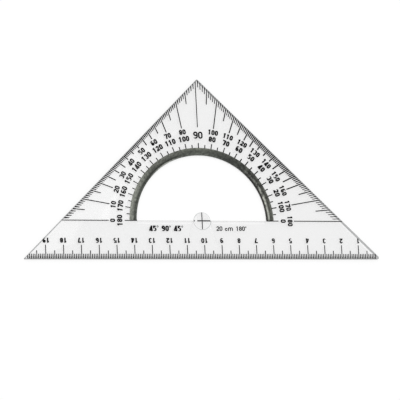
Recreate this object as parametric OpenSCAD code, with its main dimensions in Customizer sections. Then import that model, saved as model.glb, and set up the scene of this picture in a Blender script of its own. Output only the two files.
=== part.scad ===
// Protractor set square: a clear moulded 45 degree triangle with a half-round
// opening, a centimetre scale along its hypotenuse and a degree scale along its legs.
// Millimetres. The origin is the protractor's centre on the underside, +Y points to
// the right-angled corner, +Z is the printed face. Degrees count from the left.

/* [Plate] */
// Length of the hypotenuse between its sharp corners
hypotenuse_l = 205.6; // [204:0.2:230]
// Thickness of the plate
plate_t = 1.8; // [1.5:0.1:3]
// Height of the protractor's centre above the hypotenuse
centre_h = 21.6; // [20:0.2:23]
// How far the opening and the print sit to the left of the plate's middle
print_shift = 1.05; // [0:0.05:1.5]
// Radius of the left corner, the sharpest of the three
left_corner_r = 0.3; // [0.2:0.1:0.8]
// Radius of the right corner
right_corner_r = 0.9; // [0.2:0.1:1]
// Radius of the right-angled corner
apex_r = 0.5; // [0.2:0.1:0.5]
// Width of the bevel under the straight edges
edge_bevel_w = 1.2; // [0.6:0.1:1.8]
// Height of the bevel under the straight edges
edge_bevel_h = 0.6; // [0.3:0.1:1]

/* [Opening] */
// Radius of the half-round opening
opening_r = 37.3; // [30:0.1:39]
// Radius at which the bevel around the opening meets the printed face
bevel_outer_r = 41.5; // [40.5:0.1:41.8]
// Depth of the bevel around the opening
bevel_h = 0.5; // [0.4:0.1:1.2]
// Radius of the round lug that carries the centre cross
lug_r = 4.9; // [4:0.1:6]
// Radius of the round recess over the lug
lug_recess_r = 5; // [4:0.1:6]
// Depth of that recess
lug_recess_h = 0.3; // [0.2:0.1:0.6]
// Plain stretch at each end of the bevel under the opening's straight edge
bevel_end = 0.5; // [0.3:0.1:1]

/* [Lines] */
// Thickness of the printed ink
ink_t = 0.06; // [0.04:0.01:0.1]
// Width of the printed lines
line_w = 0.5; // [0.24:0.02:0.56]
// Width of the ticks over the edge bevel
edge_line_w = 0.68; // [0.56:0.02:0.76]
// How far in from the edge the ticks keep that width
edge_line_l = 1.4; // [0.8:0.1:1.8]
// Bare strip between a numeral or the centre cross and the edge that it stands at
edge_gap = 0.12; // [0.05:0.01:0.2]
// Bare strip between the ends of the ruler's ticks and the hypotenuse's edge
ruler_gap = 0.24; // [0.1:0.02:0.4]
// Bare strip between the ends of the degree ticks and a leg's edge
leg_gap = 0.3; // [0.1:0.02:0.4]

/* [Centimetre scale] */
// Distance between neighbouring ticks, a millimetre
tick_pitch = 1; // [1:0.5:2]
// Distance from the right sharp corner to the zero tick
zero_margin = 3.2; // [2.8:0.1:5]
// Least distance from the left sharp corner to the last tick
last_margin = 2.2; // [2:0.1:2.4]
// Length of a millimetre tick
mm_tick_l = 2.9; // [2.4:0.1:3.4]
// Length of a half centimetre tick
half_tick_l = 4.75; // [4:0.05:6]
// Length of a centimetre tick
cm_tick_l = 7.9; // [7:0.1:8.4]
// Height of the centimetre numerals
cm_numeral_h = 2.85; // [2.4:0.05:3.2]
// Gap between a centimetre tick and its numeral
cm_numeral_gap = 1.05; // [0.6:0.05:1.2]

/* [Degree scale] */
// Length of a one degree tick, square to the leg
degree_tick_l = 2.8; // [2.2:0.1:3.4]
// How far the inner ends of those ticks sit to the right of the protractor's centre
tick_shift = 0.5; // [0:0.05:1]
// Length of a five degree tick, square to the leg
five_tick_l = 6.2; // [5:0.1:6.6]
// Length of those at 45 and 135 degrees, which are printed short
short_five_l = 4.4; // [3.4:0.1:5]
// Length of those at 25 and 155 degrees, which are printed long
long_five_l = 7.3; // [6:0.1:8]
// Length of a five degree tick at the opening
inner_five_l = 1.8; // [1.2:0.1:2.2]
// Length of a ten degree tick at the opening
inner_ten_l = 2.85; // [2.4:0.05:3]
// Gap between the ticks at the opening and the inner numerals
inner_gap = 1.25; // [0.9:0.05:1.5]
// Height of the inner numerals
inner_numeral_h = 3.1; // [2.6:0.05:3.3]
// Gap between the inner and the outer numerals
row_gap = 1; // [0.7:0.05:1.1]
// Height of the outer numerals
outer_numeral_h = 2.95; // [2.5:0.05:3.1]
// Gap between the outer numerals and the ten degree lines
line_gap = 0.7; // [0.4:0.05:0.9]
// Height of the single large numeral at the right angle
middle_numeral_h = 4.15; // [3.6:0.05:4.6]
// Inner numeral printed at 170 degrees, where the photographed print has a misprint
inner_label_at_170 = 100; // [10, 100]

/* [Marks] */
// Length of the left arm of the centre cross, which is printed short
cross_left_l = 2.8; // [2:0.1:3.2]
// Length of the dash beyond that arm's end
cross_dash_l = 0.6; // [0.3:0.1:0.6]
// Width of the cross's level line
cross_level_w = 0.66; // [0.4:0.02:0.8]
// Height of the bold angle marks to the left of the centre
angle_mark_h = 3.2; // [2.4:0.1:3.8]
// Height of the light range marks to the right of the centre
range_mark_h = 2.6; // [2:0.1:3]
// Distance from the centre to the near end of the angle marks
angle_mark_x = 11.2; // [7.5:0.1:14]
// Distance from the centre to the near end of the range marks
range_mark_x = 7.9; // [7.5:0.1:14]
// Distance of the marks' middle below the base line
mark_y = 4.4; // [3.8:0.1:5]

/* [Hidden] */
$fn = 96;

// How far cutting shapes reach past the faces that they cut
overrun = 1;
// Ticks of the ruler in a centimetre
ticks_per_cm = 10;

// Angles, and the direction square to each leg
leg_angle = 45;
square_angle = 90;
left_normal = [-cos(leg_angle), sin(leg_angle)];
right_normal = [cos(leg_angle), sin(leg_angle)];

// Middle, corners and sides of the plate, seen from the protractor's centre
plate_x = print_shift;
left_corner = [plate_x - hypotenuse_l / 2, -centre_h];
right_corner = [plate_x + hypotenuse_l / 2, -centre_h];
apex = [plate_x, hypotenuse_l / 2 - centre_h];
leg_l = hypotenuse_l * cos(leg_angle);
left_leg_d = apex * left_normal;
right_leg_d = apex * right_normal;
print_leg_d = (left_leg_d + right_leg_d) / 2;
tick_shift_d = tick_shift * cos(leg_angle);

// Centres of the corner rounds, and the number of flats on each
corner_steps = 9;
left_round = left_corner + left_corner_r * [1 / tan(leg_angle / 2), 1];
right_round = right_corner + right_corner_r * [-1 / tan(leg_angle / 2), 1];
apex_round = apex - [0, apex_r / sin(leg_angle)];

// Heights of the printed face and of the floor of the lug's recess
print_z = plate_t;
recess_z = plate_t - lug_recess_h;

// Rows of the degree scale, as radii from the protractor's centre
inner_five_r = bevel_outer_r + inner_five_l;
inner_ten_r = bevel_outer_r + inner_ten_l;
inner_row_r = inner_ten_r + inner_gap + inner_numeral_h / 2;
outer_row_r = inner_row_r + inner_numeral_h / 2 + row_gap + outer_numeral_h / 2;
line_start_r = outer_row_r + outer_numeral_h / 2 + line_gap;
middle_row_r = (inner_row_r + outer_row_r) / 2 - line_gap / 2;
five_stop_r = outer_row_r + outer_numeral_h / 4;

// Centimetre scale: place of the zero tick and the number of ticks that fit after it
zero_x = right_corner[0] - zero_margin;
last_tick = floor((hypotenuse_l - zero_margin - last_margin) / tick_pitch);
cm_row_y = cm_tick_l + cm_numeral_gap + cm_numeral_h / 2 - centre_h;

// Proportions of the numerals, as shares of their height
numeral_w_share = 0.64;
numeral_gap_share = 0.04;
light_stroke_share = 0.2;
bold_stroke_share = 0.27;
middle_stroke_share = 0.21;
flag_share = 0.12;
hook_share = 0.27;
waist_share = 0.36;
slant_share = 1.15;
degree_sign_share = 0.34;
sign_stroke_share = 0.55;
small_letter_share = 0.66;
word_space_share = 0.5;

// The print is heavier in some places than in others. Widths as shares of the line's width,
// and strokes as shares of a numeral's height, at chosen angles or centimetres
tick_weight_shares = [[0, 1], [110, 1], [122, 1.36], [155, 1.36], [165, 0.9], [180, 0.82]];
tip_weight_shares = [[0, 1.1], [80, 1.1], [92, 0.88], [115, 0.94], [155, 1], [166, 0.78]];
line_weight_shares = [[0, 1.05], [20, 1.12], [50, 1.35], [70, 1.2], [90, 1.02], [110, 1.3],
    [125, 1.52], [150, 1.6], [165, 1.2], [180, 1.05]];
inner_weight_shares = [[30, 1.03], [70, 1.15], [110, 1.2], [130, 1.36], [150, 1.18]];
degree_stroke_shares = [[40, 0.25], [55, 0.275], [90, 0.265], [120, 0.285], [155, 0.285],
    [170, 0.255]];
cm_stroke_shares = [[8, 0.25], [12, 0.27], [17, 0.27], [19, 0.29]];

// Radius at which a ray at angle a, counted from the left, is square distance d from a leg
function left_reach(a, d) = d / cos(a - leg_angle);
function right_reach(a, d) = d / cos(a + leg_angle - 2 * square_angle);
// True where the ray at angle a leaves the plate through its left leg
function by_left_leg(a) = a <= leg_angle ? true : a >= square_angle + leg_angle ? false
    : left_reach(a, left_leg_d) < right_reach(a, right_leg_d);
function leg_d(a) = by_left_leg(a) ? left_leg_d : right_leg_d;
function leg_normal(a) = by_left_leg(a) ? left_normal : right_normal;
// Square distance at which a one degree tick and a five degree tick start at angle a
function tick_start(a) =
    print_leg_d + (by_left_leg(a) ? -tick_shift_d : tick_shift_d) - degree_tick_l;
function five_start(a) = let (fold = min(a, 2 * square_angle - a))
    print_leg_d - (fold == 45 ? short_five_l : fold == 25 ? long_five_l : five_tick_l);
function ray(a) = [-cos(a), sin(a)];
function beside(a) = [sin(a), cos(a)];

// Point beside the ray at angle a, offset by side, at square distance d from a leg's line
function leg_point(a, d, side, normal) =
    ray(a) * ((d - side * (beside(a) * normal)) / (ray(a) * normal)) + beside(a) * side;

// Height that the plate leaves above the hypotenuse for a tick of width w at x
function room_at(x, w) = min(x - w / 2 + left_leg_d / cos(leg_angle),
    right_leg_d / cos(leg_angle) - x - w / 2) + centre_h - edge_gap;

// Points of a corner round of radius r about c, from direction a1 to direction a2
function corner_arc(c, r, a1, a2) = [for (i = [0:corner_steps])
    let (a = a1 + (a2 - a1) * i / corner_steps) c + r * [cos(a), sin(a)]];

// Whole plate, as seen from above
module plate_outline() {
    polygon(concat(
        corner_arc(left_round, left_corner_r, square_angle + leg_angle, 3 * square_angle),
        corner_arc(right_round, right_corner_r, -square_angle, leg_angle),
        corner_arc(apex_round, apex_r, leg_angle, square_angle + leg_angle)));
}

// Wedge that bevels the underside of an edge, which runs along X from the origin
module edge_wedge(l) {
    slope = edge_bevel_h / edge_bevel_w;
    rotate([square_angle, 0, square_angle]) linear_extrude(l)
        polygon([[-overrun, -overrun], [edge_bevel_w + overrun / slope, -overrun],
            [-overrun, edge_bevel_h + overrun * slope]]);
}

// Half-round opening, with the centre lug left standing in it
module opening_outline() {
    difference() {
        intersection() {
            circle(opening_r);
            translate([-opening_r, 0]) square([2 * opening_r, opening_r]);
        }
        circle(lug_r);
    }
}

// Bevel around the opening, which stops at the base line
module opening_bevel() {
    slope = bevel_h / (bevel_outer_r - opening_r);
    intersection() {
        rotate_extrude() polygon([
            [opening_r - overrun, plate_t - bevel_h - overrun * slope],
            [bevel_outer_r + overrun, plate_t + overrun * slope],
            [opening_r - overrun, plate_t + overrun * slope]]);
        translate([-bevel_outer_r - overrun, line_w / 2, 0])
            cube([2 * (bevel_outer_r + overrun), bevel_outer_r + overrun, plate_t + overrun]);
    }
}

// The clear moulding
module plate() {
    straight_l = opening_r - lug_r - 2 * bevel_end;
    color([0.9, 0.92, 0.92, 0.45]) difference() {
        linear_extrude(plate_t) plate_outline();
        translate(left_corner) edge_wedge(hypotenuse_l);
        translate(right_corner) rotate(square_angle + leg_angle) edge_wedge(leg_l);
        translate(apex) rotate(-square_angle - leg_angle) edge_wedge(leg_l);
        translate([-lug_r - bevel_end, 0]) rotate(2 * square_angle) edge_wedge(straight_l);
        translate([opening_r - bevel_end, 0]) rotate(2 * square_angle) edge_wedge(straight_l);
        translate([0, 0, -overrun]) linear_extrude(plate_t + 2 * overrun) opening_outline();
        opening_bevel();
        translate([0, 0, recess_z]) cylinder(h = lug_recess_h + overrun, r = lug_recess_r);
    }
}

// Ink on the printed face
module ink(z = print_z) {
    color([0.08, 0.08, 0.09]) translate([0, 0, z]) linear_extrude(ink_t) children();
}

// Tick on the hypotenuse at x, of length l unless a corner shortens it
module hypotenuse_tick(x, l) {
    top = min(l, room_at(x, line_w));
    wide = min(edge_line_l, room_at(x, edge_line_w));
    y = ruler_gap - centre_h;
    translate([x - edge_line_w / 2, y]) square([edge_line_w, wide - ruler_gap]);
    if (top > wide)
        translate([x - line_w / 2, y]) square([line_w, top - ruler_gap]);
}

// Ticks of the centimetre scale, counted from the right
function tick_x(i) = zero_x - i * tick_pitch;
module millimetre_ticks() {
    ink() for (i = [0:last_tick]) if (i % 5 > 0) hypotenuse_tick(tick_x(i), mm_tick_l);
}
module half_centimetre_ticks() {
    ink() for (i = [0:last_tick]) if (i % ticks_per_cm == 5) hypotenuse_tick(tick_x(i), half_tick_l);
}
module centimetre_ticks() {
    ink() for (i = [0:last_tick]) if (i % ticks_per_cm == 0) hypotenuse_tick(tick_x(i), cm_tick_l);
}

// How far a numeral at x moves away from a leg, so that only its rounded corner is cut there
function numeral_nudge(n, x) =
    let (w = cm_numeral_h * numeral_w_share, reach = (number_l(n, cm_numeral_h) - w) / 2,
        y = cm_row_y + (cm_numeral_h - w) / 2,
        need = (w - cm_numeral_h * lookup(n, cm_stroke_shares)) / 2 + edge_gap,
        left = need - left_leg_d + [x - reach, y] * left_normal,
        right = need - right_leg_d + [x + reach, y] * right_normal)
    (max(0, left) - max(0, right)) / cos(leg_angle);

// Centimetre numerals, with their tops towards the hypotenuse and cut off at the leg
module centimetre_numerals() {
    ink() intersection() {
        for (k = [1:floor((last_tick - 1) / ticks_per_cm)]) {
            x = tick_x(k * ticks_per_cm);
            translate([x + numeral_nudge(k, x), cm_row_y]) rotate(2 * square_angle)
                number(k, cm_numeral_h, lookup(k, cm_stroke_shares));
        }
        inside_legs();
    }
}

// Printed area between the legs
module inside_legs() {
    gap = edge_gap / sin(leg_angle);
    polygon([left_corner + [gap, 0], right_corner - [gap, 0], apex - [0, gap]]);
}

// Both sides of a line w wide on the ray at angle a: at square distance d, and at radius r
function leg_pair(a, d, w) = [for (side = [w / 2, -w / 2]) leg_point(a, d, side, leg_normal(a))];
function ray_pair(a, r, w) = [for (side = [w / 2, -w / 2]) ray(a) * r + beside(a) * side];

// Wider end of a tick over the bevel of a leg's edge
module leg_tip(a) {
    w = edge_line_w * lookup(a, tip_weight_shares);
    polygon(concat(leg_pair(a, leg_d(a) - edge_line_l, w), leg_pair(a, leg_d(a) - leg_gap, -w)));
}
// Tick w wide at angle a from square distance d out to a leg
module leg_tick(a, d, w) {
    polygon(concat(leg_pair(a, d, w), leg_pair(a, leg_d(a) - leg_gap, -w)));
    leg_tip(a);
}
// Line w wide at angle a from the degree numerals out to a leg
module leg_line(a, w) {
    polygon(concat(ray_pair(a, line_start_r, w), leg_pair(a, leg_d(a) - leg_gap, -w)));
}

module degree_ticks() {
    ink() for (a = [1:179]) if (a % 5 > 0)
        leg_tick(a, tick_start(a), line_w * lookup(a, tick_weight_shares));
}
module five_degree_ticks() {
    ink() for (a = [5:10:175])
        leg_tick(a, max(five_start(a), five_stop_r * (ray(a) * leg_normal(a))),
            line_w * lookup(a, line_weight_shares));
}
module ten_degree_lines() {
    ink() for (a = [10:10:170]) {
        leg_line(a, line_w * lookup(a, line_weight_shares));
        leg_tip(a);
    }
}

// Radial bar w wide at angle a between two radii
module radial_bar(a, r1, r2, w) {
    rotate(2 * square_angle - a) translate([r1, -w / 2]) square([r2 - r1, w]);
}
module inner_five_degree_ticks() {
    ink() for (a = [5:10:175])
        radial_bar(a, bevel_outer_r, inner_five_r, line_w * lookup(a, inner_weight_shares));
}
module inner_ten_degree_ticks() {
    ink() for (a = [10:10:170])
        radial_bar(a, bevel_outer_r, inner_ten_r, line_w * lookup(a, inner_weight_shares));
}

// Line through 0 and 180 degrees, from each leg to the numerals and on to the opening
module base_line() {
    ink() for (a = [0, 2 * square_angle]) {
        leg_line(a, line_w);
        radial_bar(a, opening_r, inner_ten_r, line_w);
    }
}

// Cross hairs on the floor of the lug's recess, with the left arm short and a dash beyond it
module centre_cross() {
    reach = min(lug_r, lug_recess_r) - edge_gap;
    ink(recess_z) {
        square([line_w, 2 * reach], center = true);
        translate([-cross_left_l, -cross_level_w / 2])
            square([cross_left_l + reach, cross_level_w]);
        translate([-reach, -cross_level_w / 2]) square([cross_dash_l, cross_level_w]);
    }
}

// Number n on the ray at angle a, with its top outwards
module radial_number(n, a, r, h, share) {
    rotate(square_angle - a) translate([0, r]) number(n, h, share);
}
module outer_degree_numerals() {
    ink() for (a = [0:10:180]) if (a != square_angle)
        radial_number(a, a, outer_row_r, outer_numeral_h, lookup(a, degree_stroke_shares));
}
module inner_degree_numerals() {
    ink() for (a = [0:10:180]) if (a != square_angle)
        radial_number(a == 170 ? inner_label_at_170 : 2 * square_angle - a, a, inner_row_r,
            inner_numeral_h, lookup(a, degree_stroke_shares));
}
module right_angle_numeral() {
    ink() radial_number(square_angle, square_angle, middle_row_r, middle_numeral_h,
        middle_stroke_share);
}

// Bold angles of the three corners
module corner_angle_marks() {
    h = angle_mark_h;
    step = mark_l(2, h) + h * word_space_share;
    ink() for (i = [0:2])
        translate([-angle_mark_x - mark_l(2, h) / 2 - i * step, -mark_y])
            angle_mark(i == 1 ? square_angle : leg_angle, h, bold_stroke_share);
}

// Light marks of the two ranges, in centimetres and degrees
module range_marks() {
    h = range_mark_h;
    pitch = digit_pitch(h);
    letter_l = small_letter_share * h;
    number_l = 2 * pitch;
    unit_x = range_mark_x + number_l + h * word_space_share;
    ink() {
        translate([range_mark_x + number_l / 2, -mark_y])
            number(last_tick / ticks_per_cm, h, light_stroke_share);
        translate([unit_x + letter_l / 2, -mark_y - h / 2])
            letter_c(letter_l, h * light_stroke_share);
        translate([unit_x + letter_l + h * numeral_gap_share, -mark_y - h / 2])
            letter_m(letter_l, h * light_stroke_share);
        translate([unit_x + 3 * letter_l + h * word_space_share + mark_l(3, h) / 2, -mark_y])
            angle_mark(2 * square_angle, h, light_stroke_share);
    }
}

// Number with a degree sign, centred on the origin, and its length for a count of digits
function digit_pitch(h) = h * (numeral_w_share + numeral_gap_share);
function mark_l(digits, h) = digits * digit_pitch(h) + h * degree_sign_share;
module angle_mark(n, h, share) {
    sign_r = h * degree_sign_share / 2;
    translate([-sign_r, 0]) number(n, h, share);
    translate([mark_l(count_of(n), h) / 2 - sign_r, h / 2 - sign_r])
        ring(sign_r, sign_r * sign_stroke_share);
}

// Digits of a whole number, side by side and centred on the origin
function count_of(n) = n >= 100 ? 3 : n >= 10 ? 2 : 1;
function number_l(n, h) = count_of(n) * digit_pitch(h) - h * numeral_gap_share;
module number(n, h, share) {
    count = count_of(n);
    pitch = digit_pitch(h);
    for (i = [0:count - 1])
        translate([(i - (count - 1) / 2) * pitch, 0])
            digit(floor(n / pow(10, count - 1 - i)) % 10, h * numeral_w_share, h, h * share);
}

// One digit of width w and height h, centred on the origin, drawn with a stroke s wide
module digit(n, w, h, s) {
    if (n == 0) loop(w, h, s);
    if (n == 1) one(w, h, s);
    if (n == 2) two(w, h, s);
    if (n == 3) three(w, h, s);
    if (n == 4) four(w, h, s);
    if (n == 5) five(w, h, s);
    if (n == 6) six(w, h, s);
    if (n == 7) seven(w, h, s);
    if (n == 8) eight(w, h, s);
    if (n == 9) rotate(180) six(w, h, s);
}

module ring(r, s) {
    difference() {
        circle(r);
        circle(r - s);
    }
}
module slot(w, h) {
    square([w, h - w], center = true);
    for (side = [-1, 1]) translate([0, side * (h - w) / 2]) circle(w / 2);
}
module loop(w, h, s) {
    difference() {
        slot(w, h);
        slot(w - 2 * s, h - 2 * s);
    }
}
module bar(x1, y1, x2, y2) {
    translate([x1, y1]) square([x2 - x1, y2 - y1]);
}
module one(w, h, s) {
    flag = h * flag_share;
    polygon([[s / 2, -h / 2], [s / 2, h / 2], [-s / 4, h / 2], [-s / 2 - flag, h / 2 - flag],
        [-s / 2 - flag, h / 2 - flag - s], [-s / 2, h / 2 - slant_share * s], [-s / 2, -h / 2]]);
}
module two(w, h, s) {
    y = h / 2 - w / 2;
    difference() {
        translate([0, y]) ring(w / 2, s);
        bar(-w, -h, 0, y);
        bar(-w, -h, w, y - hook_share * w);
    }
    low = -h / 2 + s;
    x = sqrt(pow(w / 2, 2) - pow(hook_share * w, 2));
    polygon([[x, y - hook_share * w], [x - slant_share * s, y - hook_share * w], [-w / 2, low],
        [-w / 2, low - s / 2], [-w / 2 + slant_share * s, low - s / 2]]);
    bar(-w / 2, -h / 2, w / 2, -h / 2 + s);
}
// Two rings, one on the other, sharing one stroke's width
module eight(w, h, s) {
    for (side = [-1, 1]) translate([0, side * (h - s) / 4]) ring((h + s) / 4, s);
}
module three(w, h, s) {
    difference() {
        eight(w, h, s);
        bar(-w, -hook_share * h, 0, hook_share * h);
    }
}
module six(w, h, s) {
    y = w / 2 - h / 2;
    translate([0, y]) ring(w / 2, s);
    difference() {
        loop(w, h, s);
        bar(-w, -h, w, y);
        bar(0, -h, w, h / 2 - hook_share * w);
    }
}
module five(w, h, s) {
    r = w / 2;
    y = r - h / 2;
    difference() {
        translate([0, y]) ring(r, s);
        bar(-w, y - hook_share * w, 0, y + hook_share * w);
    }
    bar(-w / 2, y + hook_share * w, -w / 2 + s, h / 2);
    bar(-w / 2, h / 2 - s, w / 2 - s / 2, h / 2);
}
module four(w, h, s) {
    low = -waist_share * h / 2;
    x = w / 2 - s / 4;
    bar(x - s, -h / 2, x, h / 2);
    bar(-w / 2, low - s, w / 2, low);
    polygon([[-w / 2, low], [-w / 2 + s, low], [x, h / 2], [x - s, h / 2]]);
}
module seven(w, h, s) {
    bar(-w / 2, h / 2 - s, w / 2, h / 2);
    polygon([[w / 2, h / 2 - s], [w / 2 - slant_share * s, h / 2 - s], [-w / 4, -h / 2],
        [-w / 4 + slant_share * s, -h / 2]]);
}
// Small letters that stand on the origin's line, as wide as they are high
module letter_c(w, s) {
    translate([0, w / 2]) difference() {
        ring(w / 2, s);
        polygon([[0, 0], [w, w / 2], [w, -w / 2]]);
    }
}
module letter_m(w, s) {
    r = (w + s) / 4;
    for (x = [0, w - s, 2 * (w - s)]) bar(x, 0, x + s, w - r);
    for (x = [0, w - s]) translate([x + s / 2 + (w - s) / 2, w - r]) difference() {
        circle(w / 2);
        circle(w / 2 - s);
        bar(-w, -w, w, 0);
    }
}

plate();
millimetre_ticks();
half_centimetre_ticks();
centimetre_ticks();
centimetre_numerals();
degree_ticks();
five_degree_ticks();
ten_degree_lines();
outer_degree_numerals();
inner_degree_numerals();
right_angle_numeral();
inner_five_degree_ticks();
inner_ten_degree_ticks();
base_line();
centre_cross();
corner_angle_marks();
range_marks();
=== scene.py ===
# Clear protractor set square lying on white paper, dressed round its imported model.
# Lengths in the dictionaries are millimetres and angles are degrees, counted from the right.
# The protractor's centre is the origin, its base line runs along x and the apex is up y
from math import radians

import bmesh
import bpy
import numpy as np
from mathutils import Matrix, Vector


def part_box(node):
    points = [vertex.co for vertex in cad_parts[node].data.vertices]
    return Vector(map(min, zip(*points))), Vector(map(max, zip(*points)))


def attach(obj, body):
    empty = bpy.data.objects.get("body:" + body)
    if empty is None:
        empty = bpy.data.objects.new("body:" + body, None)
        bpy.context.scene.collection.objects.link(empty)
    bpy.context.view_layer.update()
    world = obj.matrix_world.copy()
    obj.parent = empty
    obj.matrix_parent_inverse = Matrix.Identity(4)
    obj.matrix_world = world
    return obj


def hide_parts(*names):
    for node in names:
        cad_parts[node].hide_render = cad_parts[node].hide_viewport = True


mm = 0.001
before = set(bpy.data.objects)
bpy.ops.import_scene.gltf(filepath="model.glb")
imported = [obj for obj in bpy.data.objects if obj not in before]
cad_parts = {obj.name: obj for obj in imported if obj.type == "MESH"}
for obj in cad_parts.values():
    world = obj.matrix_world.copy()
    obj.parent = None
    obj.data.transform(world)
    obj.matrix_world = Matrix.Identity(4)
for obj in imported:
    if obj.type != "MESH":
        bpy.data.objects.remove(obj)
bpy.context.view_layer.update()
print("frame loaded,", len(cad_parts), "nodes")


# Camera, found from the printed scales: their spacing gives the distance and the tilt
cameraView = {
    "place": (-370.74, -262.74, 1270.66),
    "turn": (12.561, -15.635, -3.014),
    "sensor": 36.0,
    "lens": 218.74,
    "farthest": 10000.0,
}


def placeCamera(view):
    data = bpy.data.cameras.new("camera")
    data.sensor_width = view["sensor"]
    data.lens = view["lens"]
    data.clip_end = view["farthest"] * mm
    camera = bpy.data.objects.new("camera", data)
    bpy.context.scene.collection.objects.link(camera)
    camera.location = [value * mm for value in view["place"]]
    camera.rotation_euler = [radians(value) for value in view["turn"]]
    bpy.context.scene.camera = camera


placeCamera(cameraView)
print("camera placed")


def linear(hexColour):
    # sRGB hex to the linear colour that a shader takes, by the standard's own formula
    values = np.array([int(hexColour[i:i + 2], 16) for i in (1, 3, 5)]) / 255
    bright = ((values + 0.055) / 1.055) ** 2.4
    return (*np.where(values <= 0.04045, values / 12.92, bright), 1.0)


def addNode(tree, kind, inputs=None, **settings):
    # one node with its settings; an input is a value or the socket that feeds it
    node = tree.nodes.new(kind)
    for name, value in settings.items():
        setattr(node, name, value)
    for name, value in (inputs or {}).items():
        if isinstance(value, bpy.types.NodeSocket):
            tree.links.new(value, node.inputs[name])
        else:
            node.inputs[name].default_value = value
    return node


def newMaterial(name):
    material = bpy.data.materials.new(name)
    material.use_nodes = True
    material.node_tree.nodes.clear()
    return material, material.node_tree


polystyreneIor = 1.59

# Crystal polystyrene, injection moulded and polished: nearly colourless, each face takes a
# little light and mirrors about a twentieth of what meets it, with hairline scratches
clearLook = {
    "passes": "#f9f9f9",
    "headOn": 0.045,  # share mirrored where a face is seen head on
    "roughness": 0.06,
    "scratchSpacing": 2.5,
    "scratchStretch": 0.06,  # the pattern's scale along a scratch, against across it
    "scratchTurn": 35.0,
    "scratchDetail": (5.0, 0.7),  # levels of detail, and how much each adds
    "scratchDepth": 0.004,
    "bumpStrength": 0.3,
}
# The narrow facet at the foot of the bevel under a straight edge sends light up, so it looks
# like a bright streak, painted as a face that lets all light through and mirrors little; the
# walls under the round bevel and round the lug are painted as bright
facetHighlightLook = dict(clearLook, passes="#ffffff", headOn=0.01)
# The low walls at the opening's straight edges are drawn as thin grey lines, and the round
# lug's rim, a soft step in the mould, as a darker one: painted shade, in darker tints
wallShadeLook = dict(clearLook, passes="#e4e4e4", headOn=0.04)
rimShadeLook = dict(clearLook, passes="#d0d2d2", headOn=0.04)


def schlickShare(tree, headOn):
    # head on share plus the rest times facing to the fifth, the same from both sides of a
    # face; at a blend of one half, facing is 1 less the cosine of the angle of view
    facing = addNode(tree, "ShaderNodeLayerWeight", {"Blend": 0.5}).outputs["Facing"]
    fifth = addNode(tree, "ShaderNodeMath", {0: facing, 1: 5.0}, operation="POWER").outputs[0]
    return addNode(tree, "ShaderNodeMath", {0: fifth, 1: 1 - headOn, 2: headOn},
                   operation="MULTIPLY_ADD").outputs[0]


def clearPolystyrene(name, look):
    material, tree = newMaterial(name)
    place = addNode(tree, "ShaderNodeTexCoord").outputs["Object"]
    stretched = addNode(tree, "ShaderNodeMapping",
                        {"Vector": place, "Rotation": (0, 0, radians(look["scratchTurn"])),
                         "Scale": (1, look["scratchStretch"], 1)}).outputs[0]
    detail, rough = look["scratchDetail"]
    scratches = addNode(tree, "ShaderNodeTexNoise",
                        {"Vector": stretched, "Scale": 1 / (look["scratchSpacing"] * mm),
                         "Detail": detail, "Roughness": rough}).outputs[0]
    bump = addNode(tree, "ShaderNodeBump",
                   {"Height": scratches, "Strength": look["bumpStrength"],
                    "Distance": look["scratchDepth"] * mm}).outputs[0]
    passed = addNode(tree, "ShaderNodeBsdfTransparent",
                     {"Color": linear(look["passes"])}).outputs[0]
    mirrored = addNode(tree, "ShaderNodeBsdfGlossy",
                       {"Color": (1, 1, 1, 1), "Roughness": look["roughness"],
                        "Normal": bump}).outputs[0]
    share = schlickShare(tree, look["headOn"])
    plastic = addNode(tree, "ShaderNodeMixShader", {0: share, 1: passed, 2: mirrored}).outputs[0]
    addNode(tree, "ShaderNodeOutputMaterial", {"Surface": plastic})
    return material


# The same plastic at the outer walls and just inside them, drawn as a thin dark line: painted
# shade for the dark that the wall and the bevel under it show
edgeShadeLook = {
    "colour": "#23262a",
    "passes": "#f4f5f5",
    "dark": 0.5,  # share of the painted dark line
    "roughness": 0.12,
    "specular": 0.3,
}


def edgePaintedShade(look):
    material, tree = newMaterial("polystyrene_edge_painted_shade")
    passed = addNode(tree, "ShaderNodeBsdfTransparent",
                     {"Color": linear(look["passes"])}).outputs[0]
    paintedShade = addNode(tree, "ShaderNodeBsdfPrincipled",
                     {"Base Color": linear(look["colour"]), "Roughness": look["roughness"],
                      "IOR": polystyreneIor, "Specular IOR Level": look["specular"]}).outputs[0]
    edge = addNode(tree, "ShaderNodeMixShader",
                   {0: look["dark"], 1: passed, 2: paintedShade}).outputs[0]
    addNode(tree, "ShaderNodeOutputMaterial", {"Surface": edge})
    return material
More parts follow.
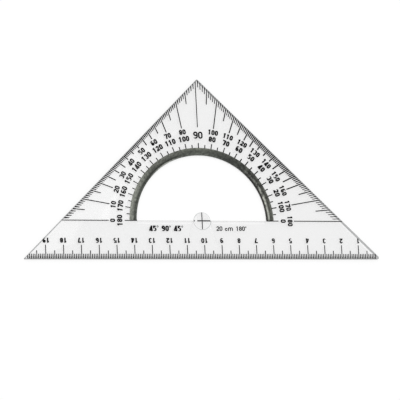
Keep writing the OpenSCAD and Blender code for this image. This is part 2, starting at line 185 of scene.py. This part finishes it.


# The bevel round the opening, finely spark-eroded in the mould, drawn a mottled dark grey green
# where the rest is clear, with painted light and shade that change round the ring and across it
bevelLook = {
    # painted light and shade: colours for each side by share of the width, from the inner edge
    # out
    "leftTones": {0.0: "#5a5d57", 0.28: "#3f423c", 0.6: "#7c7f77", 1.0: "#888b82"},
    "crownTones": {0.1: "#5a5d57", 0.35: "#4f524c", 0.65: "#53564f", 1.0: "#70736a"},
    # the right side's painted bright streak lies at 0.38 of the width
    "rightTones": {0.06: "#1e1d19", 0.18: "#262521", 0.38: "#979991", 0.62: "#373832",
                   1.0: "#53554f"},
    # the angles between which one zone's painted light and shade give way to the next one's
    "crownFrom": (118.0, 98.0),
    "rightFrom": (55.0, 37.0),
    # painted shade and light: brightness at an angle, fading to 1 at a reach on both sides:
    # (angle, reach, brightness)
    "shades": ((124.0, 40.0, 0.5), (53.0, 46.0, 0.35), (8.0, 16.0, 1.3)),
    # a painted highlight along the inner edge: (angle, reach), and the shares of the width
    # where it starts and is full
    "lipHighlightWhere": (122.0, 19.0),
    "lipHighlightWide": (0.2, 0.12),
    "lipHighlight": "#d6dad1",
    # noise that varies the brightness: mottling, streaks that run along the bevel, and
    # blotches round one angle, given as (angle, reach)
    "patterns": (
        {"spacing": 1.3, "stretch": 1.0, "detail": (3.0, 0.5), "noise": (0.3, 0.7),
         "light": (0.55, 1.5), "where": None},
        {"spacing": 0.45, "stretch": 0.3, "detail": (2.0, 0.5), "noise": (0.3, 0.7),
         "light": (0.7, 1.32), "where": None},
        {"spacing": 2.1, "stretch": 1.0, "detail": (4.0, 0.75), "noise": (0.38, 0.62),
         "light": (0.0, 2.4), "where": (40.0, 42.0)},
    ),
    "passes": "#f0f1ee",
    "dark": 0.99,  # share drawn in the bevel's painted tones; the rest passes
    "roughness": 0.42,
    "specular": 0.14,
    "grainSpacing": 0.35,
    "grainDetail": 2.0,
    "grainDepth": 0.03,
    "bumpStrength": 0.5,
}


def frostedBevelPaintedLight(look, shape):
    material, tree = newMaterial("frosted_bevel_painted_light")
    inner, outer = shape["openingRadius"], shape["openingRadius"] + shape["bevelWide"]
    place = addNode(tree, "ShaderNodeTexCoord").outputs["Object"]
    axes = addNode(tree, "ShaderNodeSeparateXYZ", {"Vector": place}).outputs
    flat = addNode(tree, "ShaderNodeCombineXYZ", {"X": axes["X"], "Y": axes["Y"]}).outputs[0]
    radius = addNode(tree, "ShaderNodeVectorMath", {0: flat}, operation="LENGTH").outputs["Value"]
    across = addNode(tree, "ShaderNodeMapRange", {"Value": radius, "From Min": inner * mm,
                                                  "From Max": outer * mm}).outputs[0]
    angle = addNode(tree, "ShaderNodeMath", {0: axes["Y"], 1: axes["X"]},
                    operation="ARCTAN2").outputs[0]
    smooth = {"interpolation_type": "SMOOTHSTEP"}

    def hill(middle, reach):
        # 1 in the middle direction, falling smoothly to 0 at the reach on both sides
        away = addNode(tree, "ShaderNodeMath", {0: angle, 1: radians(middle)},
                       operation="SUBTRACT").outputs[0]
        away = addNode(tree, "ShaderNodeMath", {0: away}, operation="ABSOLUTE").outputs[0]
        return addNode(tree, "ShaderNodeMapRange",
                       {"Value": away, "From Min": radians(reach), "From Max": 0.0},
                       **smooth).outputs[0]

    # painted light and shade: a ramp of tones across the width for each side, blended by angle
    tones = []
    for stops in (look["leftTones"], look["crownTones"], look["rightTones"]):
        ramp = addNode(tree, "ShaderNodeValToRGB", {"Fac": across})
        elements = ramp.color_ramp.elements
        elements.remove(elements[1])
        for number, (share, colour) in enumerate(stops.items()):
            element = elements[0] if number == 0 else elements.new(share)
            element.position, element.color = share, linear(colour)
        ramp.color_ramp.interpolation = "EASE"
        tones.append(ramp.outputs[0])
    tone = tones[0]
    for nextTone, ends in zip(tones[1:], (look["crownFrom"], look["rightFrom"])):
        share = addNode(tree, "ShaderNodeMapRange",
                        {"Value": angle, "From Min": radians(ends[0]),
                         "From Max": radians(ends[1])}, **smooth).outputs[0]
        tone = addNode(tree, "ShaderNodeMix", {0: share, 6: tone, 7: nextTone},
                       data_type="RGBA").outputs[2]
    # the painted highlight along the inner edge, round one angle
    lipHighlight = addNode(tree, "ShaderNodeMapRange",
                  {"Value": across, "From Min": look["lipHighlightWide"][0],
                   "From Max": look["lipHighlightWide"][1], "To Max": hill(*look["lipHighlightWhere"])},
                  **smooth).outputs[0]
    tone = addNode(tree, "ShaderNodeMix", {0: lipHighlight, 6: tone, 7: linear(look["lipHighlight"])},
                   data_type="RGBA").outputs[2]

    # painted shade and light by angle, times random mottling, streaks and blotches
    lights = []
    for middle, reach, shade in look["shades"]:
        lights.append(addNode(tree, "ShaderNodeMapRange",
                              {"Value": hill(middle, reach), "To Min": 1.0, "To Max": shade},
                              **smooth).outputs[0])
    around = addNode(tree, "ShaderNodeMath", {0: angle, 1: inner * mm},
                     operation="MULTIPLY").outputs[0]
    unrolled = addNode(tree, "ShaderNodeCombineXYZ", {"X": around, "Y": radius}).outputs[0]
    for pattern in look["patterns"]:
        along = addNode(tree, "ShaderNodeMapping",
                        {"Vector": unrolled, "Scale": (pattern["stretch"], 1, 1)}).outputs[0]
        detail, rough = pattern["detail"]
        noise = addNode(tree, "ShaderNodeTexNoise",
                        {"Vector": along, "Scale": 1 / (pattern["spacing"] * mm),
                         "Detail": detail, "Roughness": rough}).outputs[0]
        low, high = pattern["noise"]
        least, most = pattern["light"]
        varied = addNode(tree, "ShaderNodeMapRange",
                         {"Value": noise, "From Min": low, "From Max": high,
                          "To Min": least, "To Max": most}).outputs[0]
        if pattern["where"]:
            varied = addNode(tree, "ShaderNodeMix",
                             {0: hill(*pattern["where"]), 2: 1.0, 3: varied}).outputs[0]
        lights.append(varied)
    light = lights[0]
    for factor in lights[1:]:
        light = addNode(tree, "ShaderNodeMath", {0: light, 1: factor},
                        operation="MULTIPLY").outputs[0]
    colour = addNode(tree, "ShaderNodeVectorMath", {0: tone, "Scale": light},
                     operation="SCALE").outputs[0]

    grain = addNode(tree, "ShaderNodeTexNoise",
                    {"Vector": place, "Scale": 1 / (look["grainSpacing"] * mm),
                     "Detail": look["grainDetail"]}).outputs[0]
    bump = addNode(tree, "ShaderNodeBump",
                   {"Height": grain, "Strength": look["bumpStrength"],
                    "Distance": look["grainDepth"] * mm}).outputs[0]
    passed = addNode(tree, "ShaderNodeBsdfTransparent",
                     {"Color": linear(look["passes"])}).outputs[0]
    frosted = addNode(tree, "ShaderNodeBsdfPrincipled",
                      {"Base Color": colour, "Roughness": look["roughness"],
                       "IOR": polystyreneIor, "Specular IOR Level": look["specular"],
                       "Normal": bump}).outputs[0]
    bevel = addNode(tree, "ShaderNodeMixShader",
                    {0: look["dark"], 1: passed, 2: frosted}).outputs[0]
    addNode(tree, "ShaderNodeOutputMaterial", {"Surface": bevel})
    return material


# Black screen printing ink, one thin coat: satin, with paler specks where it has worn
inkLook = {
    "black": "#030304",
    "worn": "#252628",
    "roughness": 0.5,
    "specular": 0.1,
    "wearSpacing": 1.1,
    "wearDetail": (5.0, 0.65),  # levels of detail, and how much each adds
    "wearFrom": (0.56, 0.8),  # noise at which wear starts and is full
    "wearDepth": 0.01,
    "bumpStrength": 0.25,
}


def printingInk(look):
    material, tree = newMaterial("screen_printing_ink")
    place = addNode(tree, "ShaderNodeTexCoord").outputs["Object"]
    detail, rough = look["wearDetail"]
    wear = addNode(tree, "ShaderNodeTexNoise",
                   {"Vector": place, "Scale": 1 / (look["wearSpacing"] * mm),
                    "Detail": detail, "Roughness": rough}).outputs[0]
    starts, full = look["wearFrom"]
    share = addNode(tree, "ShaderNodeMapRange",
                    {"Value": wear, "From Min": starts, "From Max": full}).outputs[0]
    colour = addNode(tree, "ShaderNodeMix",
                     {0: share, 6: linear(look["black"]), 7: linear(look["worn"])},
                     data_type="RGBA").outputs[2]
    bump = addNode(tree, "ShaderNodeBump",
                   {"Height": wear, "Strength": look["bumpStrength"],
                    "Distance": look["wearDepth"] * mm}).outputs[0]
    coat = addNode(tree, "ShaderNodeBsdfPrincipled",
                   {"Base Color": colour, "Roughness": look["roughness"],
                    "Specular IOR Level": look["specular"], "Normal": bump}).outputs[0]
    addNode(tree, "ShaderNodeOutputMaterial", {"Surface": coat})
    return material


# The moulding. Its outer size and thickness come from the frame's plate
plateShape = {
    "cornerAngles": (45.0, 90.0, 45.0),  # right, apex, left
    "cornerRadii": (0.9, 0.5, 0.3),
    "cornerOver": 1.05,  # a corner's stations reach this share of its arc's length
    "openingRadius": 37.3,
    "bevelWide": 4.2,
    "bevelDeep": 0.5,
    "bevelStop": 0.25,  # height above the base line where the round bevel ends
    "lugRadius": 4.9,
    "lugReach": 9.0,  # the lug's stations meet this much of the hypotenuse on each side
    "recessRadius": 5.0,
    "recessDeep": 0.3,
    "rimWide": 0.36,
    "underWide": 1.2,  # the bevels under the straight edges
    "underHigh": 0.6,
    "underEnd": 0.5,  # how far short of the opening's ends and the lug they stop
    "facetWide": 0.3,
    "darkWide": 0.6,  # the painted dark line of shade along the outer edges
    "edgeRound": 0.14,
    "bevelRound": 0.14 / 3,
    "wallRound": 0.14 / 4,
    "arcSteps": 121,
    "lugSteps": 41,
    "sideSteps": 9,
    "cornerSteps": 17,
}
clearFace, edgeFace, bevelFace, facetFace, wallFace, rimFace = range(6)
straightEdge, plainArc, bevelArc, lugArc, besideEdge = range(5)
plateMaterials = [
    clearPolystyrene("crystal_polystyrene", clearLook),
    edgePaintedShade(edgeShadeLook),
    frostedBevelPaintedLight(bevelLook, plateShape),
    clearPolystyrene("facet_painted_highlight", facetHighlightLook),
    clearPolystyrene("wall_painted_shade", wallShadeLook),
    clearPolystyrene("lug_rim_painted_shade", rimShadeLook),
]
ink = printingInk(inkLook)
print("materials made")


def softCorner(before, corner, after, size):
    # three points of a quadratic curve that rounds a profile's corner over size on each side
    before, corner, after = (np.array(point, float) for point in (before, corner, after))
    start = corner + (before - corner) / np.linalg.norm(before - corner) * size
    end = corner + (after - corner) / np.linalg.norm(after - corner) * size
    return [start, (start + end + 2 * corner) / 4, end]


def edgeProfiles(shape, thick):
    # offset into the plastic and height of the opening's edge, from the top down, for each
    # kind of edge in turn; each profile is four rounded corners of three points. A corner's
    # neighbours only give its directions, so they may lie further out than the next corner
    size = shape["edgeRound"]
    top, deep, floor = thick, thick - shape["bevelDeep"], thick - shape["recessDeep"]
    wide, under = shape["bevelWide"], shape["underHigh"]
    inward = (shape["underWide"], 0)

    def onWall(height):
        # three points of a plain wall, in place of a corner
        return softCorner((0, height + size), (0, height), (0, height - size),
                          shape["wallRound"])

    low = softCorner((0, under), (0, 0), (wide, 0), size)
    sharp = softCorner((wide, top), (0, top), (0, 0), size) + onWall((top + under) / 2)
    straight = (sharp + softCorner((0, top), (0, under), inward, size)
                + softCorner((0, under), inward, (wide, 0), shape["facetWide"]))
    plain = sharp + onWall(under) + low
    bevel = (softCorner((2 * wide, top), (wide, top), (0, deep), shape["bevelRound"])
             + softCorner((wide, top), (0, deep), (0, 0), size) + onWall(deep / 2) + low)
    lug = (softCorner((wide, floor), (0, floor), (0, 0), shape["rimWide"])
           + onWall((floor + under) / 2) + onWall(under) + low)
    beside = plain
    return np.array([straight, plain, bevel, lug, beside])


def outerEdge(corners, radii, along, inset):
    # a point on the rounded triangle, shrunk by inset, for each distance along the sharp one:
    # within a corner's reach it lies on the corner's arc, at the corner's centre plus the
    # radius times a normal that turns evenly, and elsewhere on the straight side
    sides = np.roll(corners, -1, 0) - corners
    lengths = np.linalg.norm(sides, axis=1)
    ways = sides / lengths[:, None]
    outward = np.stack([ways[:, 1], -ways[:, 0]], 1)
    half = np.arccos(np.einsum("ij,ij->i", -np.roll(ways, 1, 0), ways)) / 2
    ends = np.cumsum(lengths)
    side = np.searchsorted(ends, along % ends[-1], side="right")
    here = along % ends[-1] - (ends - lengths)[side]
    far = lengths[side] - here
    nearStart = here < far
    corner = np.where(nearStart, side, (side + 1) % 3)
    reach = (radii / np.tan(half))[corner]
    share = np.clip(np.where(nearStart, here, far) / reach, 0, 1)
    bisector = np.roll(ways, 1, 0) - ways
    bisector /= np.linalg.norm(bisector, axis=1)[:, None]
    turn = (np.pi / 2 - half[corner]) * (1 - share) * np.where(nearStart, -1, 1)
    normal = outward[side]
    cos, sin = np.cos(turn), np.sin(turn)
    normal = np.stack([cos * normal[:, 0] - sin * normal[:, 1],
                       sin * normal[:, 0] + cos * normal[:, 1]], 1)
    kept = np.maximum(radii, inset)
    middle = (corners - bisector * (kept / np.sin(half))[:, None])[corner]
    onArc = middle + normal * np.maximum(radii - inset, 0)[corner][:, None]
    stop = kept / np.tan(half)
    straightAt = np.clip(here, stop[side], lengths[side] - stop[(side + 1) % 3])
    onSide = corners[side] + ways[side] * straightAt[:, None] - outward[side] * inset
    return np.where((share < 1)[:, None], onArc, onSide)


def plateStations(shape, corners):
    # stations round the opening, as (kind, place, way into the plastic, distance along the
    # outer edge), going up the arc from the right, down to the left, and back under the lug.
    # A station on the arc meets the leg where its own radius does: the foot of the centre on
    # the leg, plus the leg's distance times the tangent of the angle from its facing
    cornerAngles = np.radians(shape["cornerAngles"])
    reach = np.array(shape["cornerRadii"]) / np.tan(cornerAngles / 2)
    cornerShares = np.linspace(-shape["cornerOver"], shape["cornerOver"], shape["cornerSteps"])
    legLength = np.linalg.norm(corners[1] - corners[0])
    legWays = (corners[1:] - corners[:2]) / legLength
    footAt = [np.dot(-corners[i], legWays[i]) for i in (0, 1)]
    legDistance = [np.linalg.norm(corners[i] + legWays[i] * footAt[i]) for i in (0, 1)]
    facing = np.pi / 2 - cornerAngles[0], np.pi / 2 + cornerAngles[2]
    opening = shape["openingRadius"]
    first = np.arcsin(shape["bevelStop"] / opening)
    apexAngle = np.arctan2(corners[1, 1], corners[1, 0])
    nearApex = apexAngle + cornerShares * reach[1] / corners[1, 1]
    evenly = np.linspace(first, np.pi - first, shape["arcSteps"])
    angles = np.sort(np.concatenate([evenly, nearApex]))
    angles = np.concatenate([angles[:1], angles, angles[-1:]])
    kinds = np.full(len(angles), bevelArc)
    kinds[[0, -1]] = plainArc
    around = np.stack([np.cos(angles), np.sin(angles)], 1)
    onRight = footAt[0] + legDistance[0] * np.tan(angles - facing[0])
    onLeft = legLength + footAt[1] + legDistance[1] * np.tan(angles - facing[1])
    along = np.where(angles < apexAngle, onRight, onLeft)
    arc = (kinds, around * opening, around, along)

    lugAngles = np.pi * (1 - np.linspace(0, 1, shape["lugSteps"]))
    lugAround = np.stack([np.cos(lugAngles), np.sin(lugAngles)], 1)
    leftCorner = 2 * legLength
    rightCorner = leftCorner + np.linalg.norm(corners[0] - corners[2])
    lugAlong = (leftCorner - corners[2, 0]
                + np.linspace(-1, 1, shape["lugSteps"]) * shape["lugReach"])
    lug = (np.full(len(lugAngles), lugArc), lugAround * shape["lugRadius"], -lugAround, lugAlong)

    def straight(xEnds, alongEnds, cornerAt, cornerReach, bevelEnds):
        # one straight edge, between its ends in x and along the outer edge; its stations
        # also meet the outer corner's arc, and twice each end of the bevel under it, where
        # the profile changes
        lead = np.concatenate([np.linspace(*alongEnds, shape["sideSteps"]),
                               cornerAt + cornerShares * cornerReach])
        x = np.sort(np.concatenate([np.interp(lead, alongEnds, xEnds), np.repeat(bevelEnds, 2)]),
                    kind="stable")
        under = (x > bevelEnds[0]) & (x < bevelEnds[1])
        under[np.searchsorted(x, bevelEnds[0], "right") - 1] = True
        under[np.searchsorted(x, bevelEnds[1])] = True
        place = np.stack([x, np.zeros(len(x))], 1)
        way = np.tile([0.0, -1.0], (len(x), 1))
        return (np.where(under, straightEdge, besideEdge), place, way,
                np.interp(x, xEnds, alongEnds))

    # where the base line meets the legs, as a distance from the corner
    baseAt = -corners[0, 1] / np.sin(cornerAngles[0])
    lugEdge, underEnd = shape["recessRadius"], shape["underEnd"]
    lugSide = shape["lugRadius"] + underEnd
    leftSide = straight((-opening, -lugEdge), (leftCorner - baseAt, lugAlong[0]), leftCorner,
                        reach[2], (underEnd - opening, -lugSide))
    rightSide = straight((lugEdge, opening), (lugAlong[-1], rightCorner + baseAt), rightCorner,
                         reach[0], (lugSide, opening - underEnd))
    return [np.concatenate(part) for part in zip(arc, leftSide, lug, rightSide)]


def buildPlate(shape, materials):
    # the whole moulding as one closed grid: a profile of rows carried round the stations,
    # down the opening's edge, out along the underside, up the outer edge and back over the
    # top, where two more rows step down into the lug's recess
    low, high = (np.array(corner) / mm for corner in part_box("plate"))
    thick = high[2]
    radii = np.array(shape["cornerRadii"])
    cutBack = (1 / np.tan(np.radians(shape["cornerAngles"]) / 2) - 1) * radii
    left, right = low[0] - cutBack[2], high[0] + cutBack[0]
    middle, half = (left + right) / 2, (right - left) / 2
    corners = np.array([(right, low[1]), (middle, low[1] + half), (left, low[1])])
    kind, place, way, along = plateStations(shape, corners)
    profile = edgeProfiles(shape, thick)[kind]
    innerRows = [np.column_stack([place + way * profile[:, i, :1], profile[:, i, 1]])
                 for i in range(profile.shape[1])]
    size, dark = shape["edgeRound"], shape["darkWide"]
    underWide, underHigh = shape["underWide"], shape["underHigh"]
    split = (dark, underHigh * (1 - dark / underWide))
    outline = (softCorner((2 * underWide, 0), (underWide, 0), split, size) + [split]
               + softCorner(split, (0, underHigh), (0, thick), size)
               + softCorner((0, 0), (0, thick), (underWide, thick), size))
    outerRows = [np.column_stack([outerEdge(corners, radii, along, inset),
                                  np.full(len(along), height)]) for inset, height in outline]
    isLug, isPlain = kind == lugArc, kind == plainArc
    farSide = -way * [1, -1]
    bevelTop = place + way * (shape["bevelWide"] + shape["bevelRound"])
    rim = np.where(isPlain[:, None], bevelTop, innerRows[0][:, :2])
    rimRows = []
    for outwards, height in ((1, thick), (-1, thick - shape["recessDeep"])):
        radius = shape["recessRadius"] + outwards * shape["rimWide"] / 2
        rimPlace = np.where(isLug[:, None], farSide * radius, rim)
        rimRows.append(np.column_stack([rimPlace, np.where(isLug, height, thick)]))
    rows = np.stack(innerRows + outerRows + rimRows)
    rowCount, stationCount = rows.shape[:2]
    index = np.arange(rowCount * stationCount).reshape(rowCount, stationCount)
    nextRow, nextStation = np.roll(index, -1, 0), np.roll(index, -1, 1)
    both = np.roll(nextRow, -1, 1)
    faces = np.stack([index, nextRow, both, nextStation], -1).reshape(-1, 4)
    # a row of faces lies between one point of the profile and the next, and the last of them
    # is the level underside
    sameKind = kind == np.roll(kind, -1)
    innerFaces = np.array([
        [wallFace] * 8 + [clearFace, facetFace, facetFace, clearFace],
        [wallFace] * 11 + [clearFace],
        [bevelFace] * 5 + [facetFace] * 6 + [clearFace],
        [rimFace] * 2 + [facetFace] * 9 + [clearFace],
        [wallFace] * 11 + [clearFace]])[np.where(sameKind, kind, plainArc)]
    outerFaces = [facetFace] * 2 + [clearFace] + [edgeFace] * 6 + [clearFace]
    rimFaces = [rimFace, clearFace]
    surface = np.concatenate([innerFaces.T.ravel(),
                              np.repeat(outerFaces + rimFaces, stationCount)])
    mesh = bpy.data.meshes.new("moulded_plate")
    mesh.from_pydata((rows.reshape(-1, 3) * mm).tolist(), [], faces.tolist())
    for material in materials:
        mesh.materials.append(material)
    mesh.polygons.foreach_set("material_index", surface.astype(np.int32))
    tidyMesh(mesh)
    plate = bpy.data.objects.new("moulded_plate", mesh)
    bpy.context.scene.collection.objects.link(plate)
    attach(plate, "root")
    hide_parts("plate")


def tidyMesh(mesh, merge=0.0005, level=0.9999, sharp=32.0):
    # merges the grid's doubled points, drops faces with no area, turns all faces outwards and
    # keeps the level ones flat, so that only rounds and walls are shaded as curves
    work = bmesh.new()
    work.from_mesh(mesh)
    bmesh.ops.remove_doubles(work, verts=work.verts, dist=merge * mm)
    bmesh.ops.dissolve_degenerate(work, dist=merge * mm, edges=work.edges)
    bmesh.ops.recalc_face_normals(work, faces=work.faces)
    for face in work.faces:
        face.smooth = abs(face.normal.z) < level
    print("plate:", len(work.faces), "faces,",
          sum(not edge.is_manifold for edge in work.edges), "open edges,",
          round(work.calc_volume() / mm ** 3), "mm3")
    work.to_mesh(mesh)
    work.free()
    mesh.set_sharp_from_angle(angle=radians(sharp))


buildPlate(plateShape, plateMaterials)
print("plate built")

for name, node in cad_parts.items():
    if name != "plate":
        node.data.materials.clear()
        node.data.materials.append(ink)
print("ink laid on")

# White paper that the square lies on, and a plain soft light
studio = {
    "floorSize": 6000.0,
    "floorDrop": 0.03,
    "floorColour": "#8b8b8b",
    "floorGlow": 0.765,  # what brings the paper to white where it is seen
    "worldStrength": 0.78,
    "lampPlace": (-480.0, 250.0, 1250.0),
    "lampSize": 1200.0,
    "lampPower": 4.7,
}


def seenBy(tree, rays):
    # 1 for the named kinds of ray and 0 for the others
    path = addNode(tree, "ShaderNodeLightPath").outputs
    seen = path[rays[0]]
    for ray in rays[1:]:
        seen = addNode(tree, "ShaderNodeMath", {0: seen, 1: path[ray]},
                       operation="MAXIMUM").outputs[0]
    return seen


def paperMaterial(look):
    material, tree = newMaterial("white_paper")
    seen = seenBy(tree, ("Is Camera Ray", "Is Glossy Ray", "Is Transmission Ray"))
    glow = addNode(tree, "ShaderNodeMath", {0: seen, 1: look["floorGlow"]},
                   operation="MULTIPLY").outputs[0]
    light = addNode(tree, "ShaderNodeEmission",
                    {"Color": (1, 1, 1, 1), "Strength": glow}).outputs[0]
    matt = addNode(tree, "ShaderNodeBsdfDiffuse",
                   {"Color": linear(look["floorColour"])}).outputs[0]
    paper = addNode(tree, "ShaderNodeAddShader", {0: light, 1: matt}).outputs[0]
    addNode(tree, "ShaderNodeOutputMaterial", {"Surface": paper})
    return material


def buildStudio(look):
    half, drop = look["floorSize"] / 2 * mm, -look["floorDrop"] * mm
    mesh = bpy.data.meshes.new("floor")
    mesh.from_pydata([(-half, -half, drop), (half, -half, drop), (half, half, drop),
                      (-half, half, drop)], [], [(0, 1, 2, 3)])
    mesh.materials.append(paperMaterial(look))
    floor = bpy.data.objects.new("floor", mesh)
    bpy.context.scene.collection.objects.link(floor)

    world = bpy.data.worlds.new("studio")
    world.use_nodes = True
    tree = world.node_tree
    tree.nodes.clear()
    strength = addNode(tree, "ShaderNodeMapRange",
                       {"Value": seenBy(tree, ("Is Camera Ray", "Is Glossy Ray")),
                        "To Min": look["worldStrength"], "To Max": 1.0}).outputs[0]
    background = addNode(tree, "ShaderNodeBackground",
                         {"Color": (1, 1, 1, 1), "Strength": strength}).outputs[0]
    addNode(tree, "ShaderNodeOutputWorld", {"Surface": background})
    bpy.context.scene.world = world

    lamp = bpy.data.lights.new("softbox", "AREA")
    lamp.shape = "SQUARE"
    lamp.size = look["lampSize"] * mm
    lamp.energy = look["lampPower"]
    lampObject = bpy.data.objects.new("softbox", lamp)
    bpy.context.scene.collection.objects.link(lampObject)
    lampObject.location = [value * mm for value in look["lampPlace"]]
    lampObject.rotation_mode = "QUATERNION"
    lampObject.rotation_quaternion = (-lampObject.location).to_track_quat("-Z", "Y")


buildStudio(studio)
bpy.context.scene.view_settings.view_transform = "Standard"
print("studio set")
